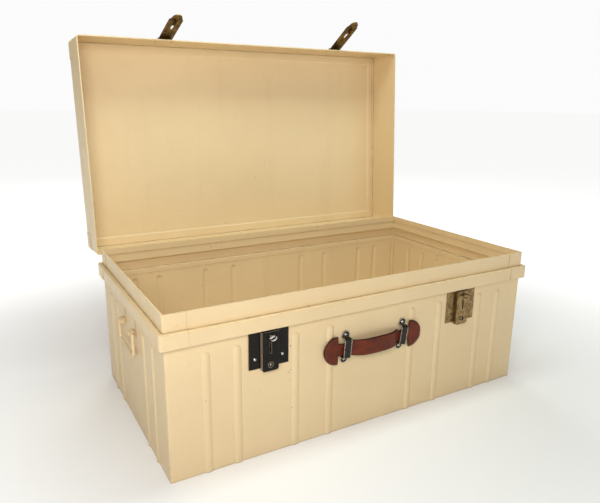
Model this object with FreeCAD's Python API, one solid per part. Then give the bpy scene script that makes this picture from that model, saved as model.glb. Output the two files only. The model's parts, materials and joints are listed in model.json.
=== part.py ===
import FreeCAD, Part
import math
import os

# Sheet-steel footlocker (travelling trunk), millimetres, +Z up.
# X runs along the length, -Y is the front with the locks, the origin is the centre of the base.
# The lid parts are modelled shut and then turned open about the hinge pins.

V = FreeCAD.Vector
X_AXIS = V(1, 0, 0)
Y_AXIS = V(0, 1, 0)
Z_AXIS = V(0, 0, 1)

# ---- driving dimensions ----
LENGTH = 800.0            # chest body, outside
WIDTH = 440.0             # chest body, outside
MOUTH_Z = 295.0           # top of the mouth lip
SHELF_Z = 264.0           # shelf that the lid sits on
BAND_Z = 239.0            # underside of the band round the mouth
BAND_OUT = 8.0            # how far the band stands out of the walls
LID_TOP_Z = 364.0         # flat border of the lid's top, lid shut
SHEET = 0.8               # wall, base and lid sheet
OPEN_DEG = 93.5           # how far the lid stands open at rest

# ---- chest walls ----
WALL_CORNER_R = 4.0
LONG_RIBS = (95.0, 167.0, 278.0, 333.0)
END_RIBS = (95.0, 150.0)
RIB_TOP_Z = 213.0
RIB_R = 12.5
RIB_OUT = 2.5
CORNER_ANGLE = 7.0        # leg of the upright angles inside the wall corners
PAN_FLANGE = 2.8

# ---- mouth frame ----
FRAME_T = 0.9
LIP_CORNER_R = 3.0
BAND_CORNER_R = 5.0
LIP_HEM_H = 13.0
LIP_HEM_T = 1.5
SKIRT_H = 9.0
CORNER_CAP = 38.0
CAP_T = 0.9

# ---- lid ----
LID_L = LENGTH + 2 * BAND_OUT
LID_W = WIDTH + 2 * BAND_OUT
LID_RIM_Z = SHELF_Z + 1.2
LID_CORNER_R = 6.0
LID_HEM_H = 11.0
LID_HEM_T = 1.4
FIELD_INSET = 17.0
FIELD_SLOPE = 4.0
FIELD_RISE = 2.0
LID_FLANGE = 6.0

# ---- back hinges ----
HINGE_X = 298.0
HINGE_W = 38.0
HINGE_Y = LID_W / 2 + 9.0
HINGE_Z = SHELF_Z + 6.0
LEAF_T = 1.5
HINGE_PIN_R = 2.0
HINGE_BORE_R = 2.05
HINGE_KNUCKLE_R = 4.2
KNUCKLES = 3
KNUCKLE_GAP = 0.3
STOP_OUT = 14.0           # the heel stop of the open lid, from the hinge line
STOP_UP = 6.2

# ---- locks ----
FITTING_X = 2.0           # the front fittings sit this far right of the middle
LOCK_X = 222.0
WALL_Y = -WIDTH / 2
PLATE_W = 76.0
PLATE_Z = (169.5, 236.0)
PLATE_T = 1.5
CASE_W = 32.0
CASE_Z = (163.5, 236.0)
CASE_FRONT_Y = WALL_Y - 8.5
CASE_T = 1.5
CASE_BACK_Y = WALL_Y - PLATE_T
TONGUE_SLOT_Z = 206.5
TONGUE_SLOT_H = 20.0
TONGUE_SLOT_W = 3.4
KEYHOLE_Z = 175.5
KEYHOLE_R = 4.25
KEY_PIN_R = 1.5
BOLT_TRAVEL = 7.0
BOLT_Y = (-225.9, -223.7)
POST_R = 1.5
GUIDE_UP = 13.0           # bolt guide post, above the keyhole

# ---- turn loops ----
TURN_Z = 227.5
TURN_PIN_R = 2.5
TURN_BORE_R = 2.55
TURN_NECK_R = 2.7
TURN_BAR = (11.0, 3.0)
TURN_BAR_Y = (CASE_FRONT_Y - 3.0, CASE_FRONT_Y - 5.5)
TURN_WIRE_R = 1.2
TURN_LEG = 5.2
TURN_TIP_Y = CASE_FRONT_Y - 17.4
TURN_REST_DEG = 66.0      # from upright, where the loop was left standing

# ---- hasps ----
HASP_Z = 286.0
HASP_Y = -231.6
HASP_W = 30.0
HASP_T = 2.0
HASP_TIP_Z = 178.0
HASP_INNER_Y = -229.0
HASP_KNUCKLE_R = 3.0
HASP_PIN_R = 1.5
HASP_BORE_R = 1.55
HASP_SLOT_Z = 227.0
HASP_SLOT = (6.0, 17.0)
TONGUE_T = 2.4
TONGUE_OUT = 6.8
TONGUE_Z = (197.5, 211.5)
TONGUE_EYE_Z = (200.5, 208.5)
TONGUE_EYE_OUT = (2.7, 5.7)
HASP_LIFT = {"left": 17.5, "right": 28.0}

# ---- front handle ----
LOOP_X = 65.5
LOOP_W = 16.0
LOOP_T = 1.5
LOOP_Z = (153.0, 189.5)
LOOP_OUT = 12.0
LOOP_TABS_Z = (148.0, 195.5)
LOOP_SKEW = {"left": 4.0, "right": 8.0}
PAD_Z = 169.0
PAD_FLAT_X = 83.0
PAD_TIP_X = 113.0
PAD_H = 55.0
PAD_T = 4.0
HANDLE_BACK_Y = WALL_Y - RIB_OUT - 0.3
NECK_H = 24.0
GRIP_H = 32.5
GRIP_HALF_X = 54.0
GRIP_FLAT_X = 33.0
GRIP_ARCH = 13.0

# ---- side handles ----
BAIL_Z = 199.0
BAIL_X = LENGTH / 2 + 7.5
BAIL_HALF_Y = 50.0
BAIL_DROP = 41.0
BAIL_R = 3.0
BAIL_BEND_R = 7.0
BAIL_STUB_Y = 29.0
SADDLE_Y = 37.0
SADDLE_W = 18.0
SADDLE_Z = (191.0, 231.0)
SADDLE_T = 1.2
SADDLE_EYE_R = 5.2
SADDLE_BORE_R = 3.06
SADDLE_EYE_L = 12.0
SADDLE_RIVETS_Z = (213.0, 224.0)

SIDES = (("left", -1.0), ("right", 1.0))
FAR = 1000.0


# ---------------------------------------------------------------- helpers
def block(x0, x1, y0, y1, z0, z1):
    """A box between two corners, given in any order."""
    low = V(min(x0, x1), min(y0, y1), min(z0, z1))
    return Part.makeBox(abs(x1 - x0), abs(y1 - y0), abs(z1 - z0), low)


def rod(radius, start, end):
    """A round bar between two points."""
    way = end - start
    return Part.makeCylinder(radius, way.Length, start, way)


def round_block(length, width, z0, z1, radius):
    """A box centred on the Z axis with rounded upright edges."""
    solid = block(-length / 2, length / 2, -width / 2, width / 2, z0, z1)
    upright = [e for e in solid.Edges if abs(e.tangentAt(e.FirstParameter).z) > 0.9]
    return solid.makeFillet(radius, upright)


def frame_band(length, width, z0, z1, thickness, radius):
    """A rectangular hoop, its outside at length x width."""
    inner_r = max(radius - thickness, 0.3)
    outer = round_block(length, width, z0, z1, radius)
    inner = round_block(length - 2 * thickness, width - 2 * thickness, z0 - 1, z1 + 1, inner_r)
    return outer.cut(inner)


def prism(points, direction):
    """A solid swept from a closed outline of points along a vector."""
    wire = Part.makePolygon([V(*p) for p in points] + [V(*points[0])])
    return Part.Face(wire).extrude(direction)


def mitre_wedge(side, z0=-FAR, z1=FAR):
    """The share of plan space that belongs to one side of the trunk, cut at 45 degrees."""
    reach = LENGTH / 2 + 60
    depth = reach - (LENGTH - WIDTH) / 2
    ridge = (LENGTH - WIDTH) / 2
    plans = {
        "front": [(-reach, -depth), (reach, -depth), (ridge, 0), (-ridge, 0)],
        "back": [(-reach, depth), (reach, depth), (ridge, 0), (-ridge, 0)],
        "left": [(-reach, -depth), (-reach, depth), (-ridge, 0)],
        "right": [(reach, -depth), (reach, depth), (ridge, 0)],
    }
    return prism([(x, y, z0) for x, y in plans[side]], V(0, 0, z1 - z0))


def fuse_all(solids):
    """One clean solid from several that touch or overlap."""
    whole = solids[0]
    if len(solids) > 1:
        whole = whole.multiFuse(list(solids[1:]))
    return whole.removeSplitter()


def dome_rivet(point, outward, head_r, head_h, shank_r, shank_l):
    """A domed rivet head on a surface, with its shank going in behind it."""
    ball_r = (head_r ** 2 + head_h ** 2) / (2 * head_h)
    centre = point - outward * (ball_r - head_h)
    ball = Part.makeSphere(ball_r, centre)
    cap = ball.common(Part.makeCylinder(head_r + 1, head_h + 1, point, outward))
    return fuse_all([cap, Part.makeCylinder(shank_r, shank_l, point, outward * -1)])


def open_lid(shape):
    """Turn a shape modelled on the shut lid to where the open lid holds it."""
    turned = shape.copy()
    turned.rotate(V(0, HINGE_Y, HINGE_Z), X_AXIS, -OPEN_DEG)
    return turned


def save(name, shape):
    """Write one node, as its solid or its group of solids."""
    solids = shape.Solids
    out = solids[0] if len(solids) == 1 else Part.makeCompound(solids)
    out.exportStep("parts/" + name + ".step")


# ---------------------------------------------------------------- chest body
def rib(at, face, axis):
    """Outer and hollow solids of one upright rib on a wall; face is +1 or -1."""
    half = (WIDTH if axis == "y" else LENGTH) / 2
    depth = half + RIB_OUT - RIB_R
    foot = V(at, face * depth, -5) if axis == "y" else V(face * depth, at, -5)
    top = V(foot.x, foot.y, RIB_TOP_Z)
    outer = rod(RIB_R, foot, top).fuse(Part.makeSphere(RIB_R, top))
    hollow = rod(RIB_R - SHEET, foot, top).fuse(Part.makeSphere(RIB_R - SHEET, top))
    return outer, hollow


def rib_places(side):
    places = LONG_RIBS if side in ("front", "back") else END_RIBS
    return [s * p for p in places for s in (-1, 1)]


def walls():
    """The four ribbed walls, meeting at mitred corners."""
    tube = frame_band(LENGTH, WIDTH, 0, BAND_Z, SHEET, WALL_CORNER_R)
    for side in ("front", "back", "left", "right"):
        axis = "y" if side in ("front", "back") else "x"
        face = -1 if side in ("front", "left") else 1
        wall = tube.common(mitre_wedge(side))
        half = (WIDTH if axis == "y" else LENGTH) / 2
        skin_in = half - SHEET
        skin_out = half + 20
        if axis == "y":
            outside = block(-FAR, FAR, face * skin_in, face * skin_out, 0, BAND_Z)
        else:
            outside = block(face * skin_in, face * skin_out, -FAR, FAR, 0, BAND_Z)
        for at in rib_places(side):
            outer, hollow = rib(at, face, axis)
            wall = wall.fuse(outer.common(outside)).cut(hollow)
        save(side + "_wall", wall.removeSplitter())


def corner_angles():
    """Upright angles inside the four corners, which the walls are riveted to."""
    length = LENGTH - 2 * SHEET
    width = WIDTH - 2 * SHEET
    z0 = PAN_FLANGE + 1
    z1 = BAND_Z - SKIRT_H - 0.5
    lining = frame_band(length, width, z0, z1, SHEET, WALL_CORNER_R - SHEET)
    angles = []
    for x in (-1, 1):
        for y in (-1, 1):
            corner = block(x * (length / 2 - CORNER_ANGLE), x * length, y * (width / 2 - CORNER_ANGLE), y * width, 0, FAR)
            angles.append(lining.common(corner))
    save("corner_angles", Part.makeCompound(angles))


def base_pan():
    """The bottom sheet, with a short flange turned up inside the walls."""
    length = LENGTH - 2 * SHEET
    width = WIDTH - 2 * SHEET
    inner_r = WALL_CORNER_R - SHEET
    flange = frame_band(length, width, 0, PAN_FLANGE, SHEET, inner_r)
    save("base_pan", fuse_all([round_block(length, width, 0, SHEET, inner_r), flange]))


# ---------------------------------------------------------------- mouth frame
def frame_solid():
    """The whole pressed frame: lip with hem, shelf, band, ledge and inner skirt."""
    band_l = LENGTH + 2 * BAND_OUT
    band_w = WIDTH + 2 * BAND_OUT
    skirt_in = 2 * SHEET
    lip = frame_band(LENGTH, WIDTH, SHELF_Z - FRAME_T, MOUTH_Z, FRAME_T, LIP_CORNER_R)
    hem = frame_band(LENGTH, WIDTH, MOUTH_Z - LIP_HEM_H, MOUTH_Z, FRAME_T + LIP_HEM_T, LIP_CORNER_R)
    shelf_w = BAND_OUT + FRAME_T
    shelf = frame_band(band_l, band_w, SHELF_Z - FRAME_T, SHELF_Z, shelf_w, BAND_CORNER_R)
    band = frame_band(band_l, band_w, BAND_Z, SHELF_Z, FRAME_T, BAND_CORNER_R)
    ledge_w = BAND_OUT + SHEET + FRAME_T
    ledge = frame_band(band_l, band_w, BAND_Z, BAND_Z + FRAME_T, ledge_w, BAND_CORNER_R)
    skirt = frame_band(LENGTH - skirt_in, WIDTH - skirt_in, BAND_Z - SKIRT_H, BAND_Z + FRAME_T,
                       FRAME_T, WALL_CORNER_R - SHEET)
    return fuse_all([lip, hem, shelf, band, ledge, skirt])


def mouth_frame():
    """Four frame rails mitred at the corners, and a cap over each corner."""
    whole = frame_solid()
    for side in ("front", "back", "left", "right"):
        save("rim_" + side, whole.common(mitre_wedge(side)))
    grow = 2 * CAP_T
    lip = round_block(LENGTH + grow, WIDTH + grow, SHELF_Z, MOUTH_Z, LIP_CORNER_R + CAP_T)
    band = round_block(LID_L + grow, LID_W + grow, BAND_Z, SHELF_Z + CAP_T, BAND_CORNER_R + CAP_T)
    shell = lip.fuse(band)
    shell = shell.cut(round_block(LENGTH, WIDTH, BAND_Z - 1, MOUTH_Z + 1, LIP_CORNER_R))
    shell = shell.cut(round_block(LID_L, LID_W, BAND_Z - 1, SHELF_Z, BAND_CORNER_R))
    reach = LENGTH / 2 + 30
    for end, y in (("front", -1), ("back", 1)):
        for side, x in SIDES:
            near = block(x * (LENGTH / 2 - CORNER_CAP), x * reach,
                         y * (WIDTH / 2 - CORNER_CAP), y * reach, 0, FAR)
            save("rim_corner_" + end + "_" + side, shell.common(near))


def rim_rivets():
    """Small rivets that hold the corner caps to the lip and the corner angles to the long walls."""
    rivets = []
    for x in (-1, 1):
        for y in (-1, 1):
            lip_x = x * (LENGTH / 2 - CORNER_CAP / 2 - 2)
            lip_y = y * (WIDTH / 2 - CORNER_CAP / 2)
            on_long = V(lip_x, y * (WIDTH / 2 + CAP_T), 275)
            on_end = V(x * (LENGTH / 2 + CAP_T), lip_y, 275)
            rivets.append(dome_rivet(on_long, V(0, y, 0), 2.4, 0.9, 1.2, 1.5))
            rivets.append(dome_rivet(on_end, V(x, 0, 0), 2.4, 0.9, 1.2, 1.5))
            inside = V(x * (LENGTH / 2 - 4.7), y * (WIDTH / 2 - 2 * SHEET), 222)
            rivets.append(dome_rivet(inside, V(0, -y, 0), 2.2, 0.9, 1.1, 1.2))
    save("rim_rivets", Part.makeCompound(rivets))


# ---------------------------------------------------------------- locks
def lock_plate(x0):
    x_out = PLATE_W / 2
    return block(x0 - x_out, x0 + x_out, WALL_Y, CASE_BACK_Y, PLATE_Z[0], PLATE_Z[1])


def lock_case(x0):
    """A pressed box with rounded lower corners, a tongue slot, a keyhole and the loop's bore."""
    half = CASE_W / 2
    z0, z1 = CASE_Z
    outer = block(x0 - half, x0 + half, CASE_BACK_Y, CASE_FRONT_Y, z0, z1)
    lower = [e for e in outer.Edges if is_along(e, Y_AXIS) and e.CenterOfMass.z < z0 + 1]
    outer = outer.makeFillet(5.0, lower)
    front = [e for e in outer.Edges if e.CenterOfMass.y < CASE_FRONT_Y + 0.1 and e.CenterOfMass.z < z1 - 1]
    outer = outer.makeFillet(1.4, front)
    hollow = block(x0 - half + CASE_T, x0 + half - CASE_T, CASE_BACK_Y + 1, CASE_FRONT_Y + CASE_T,
                   z0 + CASE_T, z1 - CASE_T)
    lower = [e for e in hollow.Edges if is_along(e, Y_AXIS) and e.CenterOfMass.z < z0 + 3]
    hollow = hollow.makeFillet(5.0 - CASE_T, lower)
    case = outer.cut(hollow)
    slot_x = TONGUE_SLOT_W / 2
    slot_z = TONGUE_SLOT_H / 2
    slot = block(x0 - slot_x, x0 + slot_x, CASE_FRONT_Y - 1, CASE_FRONT_Y + 3,
                 TONGUE_SLOT_Z - slot_z, TONGUE_SLOT_Z + slot_z)
    keyhole = rod(KEYHOLE_R, V(x0, CASE_FRONT_Y - 3, KEYHOLE_Z), V(x0, CASE_FRONT_Y + 3, KEYHOLE_Z))
    collar = rod(KEYHOLE_R + 1.2, V(x0, CASE_FRONT_Y + 0.5, KEYHOLE_Z), V(x0, CASE_FRONT_Y - 0.8, KEYHOLE_Z))
    bore = rod(TURN_BORE_R, V(x0, CASE_FRONT_Y - 3, TURN_Z), V(x0, CASE_FRONT_Y + 3, TURN_Z))
    return case.fuse(collar).cut(slot).cut(keyhole).cut(bore).removeSplitter()


def is_along(edge, axis):
    start = edge.tangentAt(edge.FirstParameter)
    return edge.Curve.TypeId == "Part::GeomLine" and abs(start.dot(axis)) > 0.99


def turn_loop(x0):
    """The wire loop on its swivel: head, pin, neck, crossbar and bent wire, built upright."""
    inside = CASE_FRONT_Y + CASE_T + 0.1
    collar = CASE_FRONT_Y - 0.1
    bar_back, bar_front = TURN_BAR_Y
    head = rod(4.0, V(x0, inside + 1.0, TURN_Z), V(x0, inside, TURN_Z))
    pin = rod(TURN_PIN_R, V(x0, inside + 0.5, TURN_Z), V(x0, collar - 0.5, TURN_Z))
    neck = rod(TURN_NECK_R, V(x0, collar, TURN_Z), V(x0, bar_back - 1, TURN_Z))
    bar_h, bar_w = TURN_BAR
    bar = block(x0 - bar_w / 2, x0 + bar_w / 2, bar_back, bar_front, TURN_Z - bar_h / 2, TURN_Z + bar_h / 2)
    bar = bar.makeFillet(1.0, [e for e in bar.Edges if is_along(e, X_AXIS)])
    bend_y = TURN_TIP_Y + TURN_WIRE_R + TURN_LEG
    low = V(x0, bar_back - 1, TURN_Z - TURN_LEG)
    high = V(x0, bar_back - 1, TURN_Z + TURN_LEG)
    low_bend = V(x0, bend_y, low.z)
    high_bend = V(x0, bend_y, high.z)
    tip = V(x0, bend_y - TURN_LEG, TURN_Z)
    path = Part.Wire([
        Part.LineSegment(low, low_bend).toShape(),
        Part.Arc(low_bend, tip, high_bend).toShape(),
        Part.LineSegment(high_bend, high).toShape(),
    ])
    circle = Part.Wire(Part.makeCircle(TURN_WIRE_R, low, Y_AXIS))
    wire = path.makePipeShell([circle], True, True)
    loop = fuse_all([head, pin, neck, bar, wire])
    loop.rotate(V(x0, 0, TURN_Z), Y_AXIS, TURN_REST_DEG)
    return loop


def lock_bolt(x0):
    """The sliding bolt: a nose on an arm, and a plate with a guide slot and a key notch."""
    y0, y1 = BOLT_Y
    left = x0 - 13.7
    k = KEYHOLE_Z
    plate = block(left, x0 + 5.7, y0, y1, k + 5, k + 19)
    arm = block(left, left + 5, y0, y1, k + 18, k + 32)
    nose = block(left, x0 - 3.0, y0, y1, k + 26, k + 32)
    bolt = plate.fuse(arm).fuse(nose)
    slot_z = k + GUIDE_UP
    slot_a = V(x0 - 10.1, y0 - 1, slot_z)
    slot_b = V(x0 - 10.1 + BOLT_TRAVEL, y0 - 1, slot_z)
    slot_r = POST_R + 0.1
    for end in (slot_a, slot_b):
        bolt = bolt.cut(Part.makeCylinder(slot_r, 6, end, Y_AXIS))
    bolt = bolt.cut(block(slot_a.x, slot_b.x, y0 - 1, y1 + 1, slot_z - slot_r, slot_z + slot_r))
    return bolt.cut(block(x0 - 3, x0 + 3, y0 - 1, y1 + 1, k + 4, k + 9)).removeSplitter()


def lock_posts(x0):
    """The key's centre pin and the post that guides the bolt, both set in the plate."""
    post_x = x0 - 10.1 + BOLT_TRAVEL
    post_z = KEYHOLE_Z + GUIDE_UP
    key_pin = rod(KEY_PIN_R, V(x0, CASE_BACK_Y + 0.5, KEYHOLE_Z), V(x0, CASE_FRONT_Y + 0.6, KEYHOLE_Z))
    post = rod(POST_R, V(post_x, CASE_BACK_Y + 0.5, post_z), V(post_x, BOLT_Y[0] - 0.6, post_z))
    return [key_pin, post]


def bolt_spring(x0):
    """The leaf that presses on the bolt's top edge, hooked to the side of the case."""
    wall_x = x0 + CASE_W / 2 - CASE_T
    y0, y1 = BOLT_Y[0] + 0.4, BOLT_Y[1] - 0.4
    z0 = KEYHOLE_Z + 19.5
    blade = block(x0 + 7.0, wall_x - 0.05, y0, y1, z0, z0 + 0.5)
    foot = block(wall_x - 0.6, wall_x, y0, y1, z0, z0 + 9)
    return blade.fuse(foot).removeSplitter()


def locks():
    rivets = []
    posts = []
    for side, x in SIDES:
        x0 = FITTING_X + x * LOCK_X
        save("lock_plate_" + side, lock_plate(x0))
        save("lock_case_" + side, lock_case(x0))
        save("lock_bolt_" + side, lock_bolt(x0))
        save("bolt_spring_" + side, bolt_spring(x0))
        save("turn_loop_" + side, turn_loop(x0))
        posts += lock_posts(x0)
        for offset in (-26.0, 26.0):
            place = V(x0 + offset, CASE_BACK_Y, 187.5)
            rivets.append(dome_rivet(place, V(0, -1, 0), 2.8, 1.5, 1.5, 2.6))
    save("lock_rivets", Part.makeCompound(rivets))
    save("lock_posts", Part.makeCompound(posts))


# ---------------------------------------------------------------- hasps
def hasp_outline_solid(x0):
    """The strap's plan: straight sides, shoulders and a rounded nose."""
    half = HASP_W / 2
    nose_r = 11.0
    nose_z = HASP_TIP_Z + nose_r
    body = block(x0 - half, x0 + half, HASP_Y - 20, HASP_Y + 20, nose_z + 8, HASP_Z - 4)
    nose = rod(nose_r, V(x0, HASP_Y - 20, nose_z), V(x0, HASP_Y + 20, nose_z))
    taper = prism([(x0 - half, HASP_Y - 20, nose_z + 8), (x0 + half, HASP_Y - 20, nose_z + 8),
                   (x0 + nose_r, HASP_Y - 20, nose_z), (x0 - nose_r, HASP_Y - 20, nose_z)], V(0, 40, 0))
    return body.fuse(nose).fuse(taper)


def hasp_strap(x0):
    """The strap with its knuckle, loop slot and lifted tip."""
    inner = HASP_INNER_Y
    outer = inner - HASP_T
    tip = HASP_TIP_Z
    side_view = [
        (inner, HASP_Z), (inner, tip + 6), (inner - 1.8, tip),
        (outer - 1.8, tip), (outer, tip + 6), (outer, HASP_Z),
    ]
    half = HASP_W / 2
    blank = prism([(x0 - half, y, z) for y, z in side_view], V(HASP_W, 0, 0))
    strap = blank.common(hasp_outline_solid(x0))
    neck_half = knuckle_half()
    neck = block(x0 - neck_half, x0 + neck_half, inner, outer, HASP_Z - 5, HASP_Z)
    knuckle = rod(HASP_KNUCKLE_R, V(x0 - neck_half, HASP_Y, HASP_Z), V(x0 + neck_half, HASP_Y, HASP_Z))
    strap = strap.fuse(neck).fuse(knuckle)
    strap = strap.cut(rod(HASP_BORE_R, V(x0 - 20, HASP_Y, HASP_Z), V(x0 + 20, HASP_Y, HASP_Z)))
    slot_w, slot_h = HASP_SLOT
    slot_r = slot_w / 2
    slot = block(x0 - slot_r, x0 + slot_r, HASP_Y - 9, HASP_Y + 9,
                 HASP_SLOT_Z - slot_h / 2 + slot_r, HASP_SLOT_Z + slot_h / 2 - slot_r)
    for end in (-1, 1):
        z = HASP_SLOT_Z + end * (slot_h / 2 - slot_r)
        slot = slot.fuse(rod(slot_r, V(x0, HASP_Y - 9, z), V(x0, HASP_Y + 9, z)))
    return strap.cut(slot).removeSplitter()


def knuckle_half():
    return 6.8


def hasp_tongue(x0):
    """The eyed tongue riveted behind the strap, which the lock bolt passes through."""
    face = HASP_INNER_Y
    half = TONGUE_T / 2
    z0, z1 = TONGUE_Z
    blade = block(x0 - half, x0 + half, face, face + TONGUE_OUT, z0, z1)
    free = [e for e in blade.Edges if is_along(e, X_AXIS) and e.CenterOfMass.y > face + TONGUE_OUT - 1]
    blade = blade.makeFillet(2.8, free)
    eye_a, eye_b = TONGUE_EYE_OUT
    eye = block(x0 - 5, x0 + 5, face + eye_a, face + eye_b, TONGUE_EYE_Z[0], TONGUE_EYE_Z[1])
    z_mid = (z0 + z1) / 2
    tail = rod(2.0, V(x0, face, z_mid), V(x0, face - HASP_T - 0.8, z_mid))
    return blade.cut(eye).fuse(tail).removeSplitter()


def hasp_leaf(x0):
    """The hinge plate on the lid's front, with a knuckle each side of the hasp's."""
    lid_y = -LID_W / 2
    leaf_y = lid_y - LEAF_T
    leaf = block(x0 - 25, x0 + 25, lid_y, leaf_y, HASP_Z + 2.2, HASP_Z + 18)
    parts = [leaf]
    inner = knuckle_half() + KNUCKLE_GAP
    outer = 15.0
    for end in (-1, 1):
        a = x0 + end * inner
        b = x0 + end * outer
        barrel = rod(HASP_KNUCKLE_R, V(a, HASP_Y, HASP_Z), V(b, HASP_Y, HASP_Z))
        web = block(a, b, lid_y - 0.2, HASP_Y, HASP_Z, HASP_Z + 2.9)
        parts.append(barrel.fuse(web))
    solid = fuse_all(parts)
    pin_way = rod(HASP_PIN_R, V(x0 - 20, HASP_Y, HASP_Z), V(x0 + 20, HASP_Y, HASP_Z))
    return solid.cut(pin_way)


def hasps():
    pins = []
    rivets = []
    for side, x in SIDES:
        x0 = FITTING_X + x * LOCK_X
        pivot = V(x0, HASP_Y, HASP_Z)
        for name, shape in (("hasp_", hasp_strap(x0)), ("hasp_tongue_", hasp_tongue(x0))):
            lifted = shape.copy()
            lifted.rotate(pivot, X_AXIS, -HASP_LIFT[side])
            save(name + side, open_lid(lifted))
        save("hasp_leaf_" + side, open_lid(hasp_leaf(x0)))
        pins.append(rod(HASP_PIN_R, V(x0 - 15.6, HASP_Y, HASP_Z), V(x0 + 15.6, HASP_Y, HASP_Z)))
        for offset in (-18.75, 18.75):
            place = V(x0 + offset, -LID_W / 2 - LEAF_T, HASP_Z + 10)
            rivets.append(dome_rivet(place, V(0, -1, 0), 2.8, 1.3, 1.5, 3.0))
    save("hasp_pins", open_lid(Part.makeCompound(pins)))
    save("hasp_rivets", open_lid(Part.makeCompound(rivets)))


# ---------------------------------------------------------------- lid
def lid_field(inset, z0, z1, shrink):
    """The raised field of the lid's top as a flat-topped frustum."""
    def outline(gap, z):
        x = LID_L / 2 - gap
        y = LID_W / 2 - gap
        return Part.makePolygon([V(-x, -y, z), V(x, -y, z), V(x, y, z), V(-x, y, z), V(-x, -y, z)])
    return Part.makeLoft([outline(inset + shrink, z0), outline(inset + FIELD_SLOPE + shrink, z1)], True)


def lid_top():
    """The top sheet with its raised field."""
    sheet = round_block(LID_L, LID_W, LID_TOP_Z - SHEET, LID_TOP_Z, LID_CORNER_R)
    raised = lid_field(FIELD_INSET, LID_TOP_Z - SHEET, LID_TOP_Z + FIELD_RISE, 0)
    under = lid_field(FIELD_INSET, LID_TOP_Z - SHEET, LID_TOP_Z + FIELD_RISE - SHEET, 1.0)
    return sheet.fuse(raised).cut(under).removeSplitter()


def lid_walls():
    """Front, back and end walls of the lid, with hemmed rims; the ends have a top flange."""
    top = LID_TOP_Z - SHEET
    tube = frame_band(LID_L, LID_W, LID_RIM_Z, top, SHEET, LID_CORNER_R)
    hem = frame_band(LID_L, LID_W, LID_RIM_Z, LID_RIM_Z + LID_HEM_H, SHEET + LID_HEM_T, LID_CORNER_R)
    whole = fuse_all([tube, hem])
    inside = round_block(LID_L - SHEET, LID_W - SHEET, top - SHEET, top, LID_CORNER_R)
    for side, name in (("front", "lid_front"), ("back", "lid_back"), ("left", "lid_end_left"), ("right", "lid_end_right")):
        wall = whole.common(mitre_wedge(side))
        if side in ("left", "right"):
            face = -1 if side == "left" else 1
            x_out = face * (LID_L / 2 - SHEET / 2)
            x_in = face * (LID_L / 2 - SHEET - LID_FLANGE)
            flange = block(x_out, x_in, -LID_W / 2 + 9, LID_W / 2 - 9, top - SHEET, top)
            wall = wall.fuse(flange.common(inside)).removeSplitter()
        save(name, open_lid(wall))


def lid_corners():
    """Caps pressed over the lid's four top corners."""
    grow = 2 * CAP_T
    top = LID_TOP_Z + CAP_T
    low = LID_TOP_Z - CORNER_CAP
    shell = round_block(LID_L + grow, LID_W + grow, low, top, LID_CORNER_R + CAP_T)
    top_edges = [e for e in shell.Edges if e.CenterOfMass.z > top - 0.01]
    shell = shell.makeFillet(0.8, top_edges)
    shell = shell.cut(round_block(LID_L, LID_W, low - 1, LID_TOP_Z, LID_CORNER_R))
    shell = shell.cut(lid_field(FIELD_INSET, LID_TOP_Z - 1, LID_TOP_Z + FIELD_RISE, -0.4))
    reach = LENGTH
    for end, y in (("front", -1), ("back", 1)):
        for side, x in SIDES:
            near = block(x * (LID_L / 2 - CORNER_CAP), x * reach,
                         y * (LID_W / 2 - CORNER_CAP), y * reach, 0, FAR)
            save("lid_corner_" + end + "_" + side, open_lid(shell.common(near)))


def lid():
    save("lid_top", open_lid(lid_top()))
    lid_walls()
    lid_corners()


# ---------------------------------------------------------------- back hinges
def knuckle_spans(x0, first):
    """X spans of every second knuckle of one hinge."""
    pitch = HINGE_W / KNUCKLES
    start = x0 - HINGE_W / 2
    spans = []
    for i in range(first, KNUCKLES, 2):
        spans.append((start + i * pitch + KNUCKLE_GAP / 2, start + (i + 1) * pitch - KNUCKLE_GAP / 2))
    return spans


def barrel(a, b):
    """One knuckle, solid until the pin's way is cut."""
    return rod(HINGE_KNUCKLE_R, V(a, HINGE_Y, HINGE_Z), V(b, HINGE_Y, HINGE_Z))


def pin_way(x0, radius):
    return rod(radius, V(x0 - 40, HINGE_Y, HINGE_Z), V(x0 + 40, HINGE_Y, HINGE_Z))


def hinge_leaf_chest(x0):
    """The lower leaf: on the band, with brackets out to its knuckles and a foot on the wall."""
    y_band = LID_W / 2
    y_wall = WIDTH / 2
    half = HINGE_W / 2
    top = SHELF_Z - 1.5
    upper = block(x0 - half, x0 + half, y_band, y_band + LEAF_T, BAND_Z - LEAF_T, top)
    step = block(x0 - 14, x0 + 14, y_wall, y_band + LEAF_T, BAND_Z - LEAF_T, BAND_Z)
    foot = block(x0 - 14, x0 + 14, y_wall, y_wall + LEAF_T, 220, BAND_Z)
    solids = [upper, step, foot]
    for a, b in knuckle_spans(x0, 0):
        shelf = block(a, b, y_band, HINGE_Y + 1.5, top - 3.0, top)
        post = block(a, b, HINGE_Y - 1.5, HINGE_Y + 1.5, top - 3.0, HINGE_Z)
        stop = block(a, b, HINGE_Y, HINGE_Y + STOP_OUT, HINGE_Z, HINGE_Z + STOP_UP)
        solids += [shelf, post, stop, barrel(a, b)]
    return fuse_all(solids).cut(pin_way(x0, HINGE_PIN_R))


def hinge_leaf_lid(x0):
    """The upper leaf, on the lid's back wall."""
    y_band = LID_W / 2
    half = HINGE_W / 2
    plate = block(x0 - half, x0 + half, y_band, y_band + LEAF_T, HINGE_Z + 4.6, HINGE_Z + 30)
    solids = [plate]
    for a, b in knuckle_spans(x0, 1):
        web = block(a, b, y_band, HINGE_Y, HINGE_Z + 2.4, HINGE_Z + 4.7)
        solids += [barrel(a, b), web]
    return fuse_all(solids).cut(pin_way(x0, HINGE_BORE_R))


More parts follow.
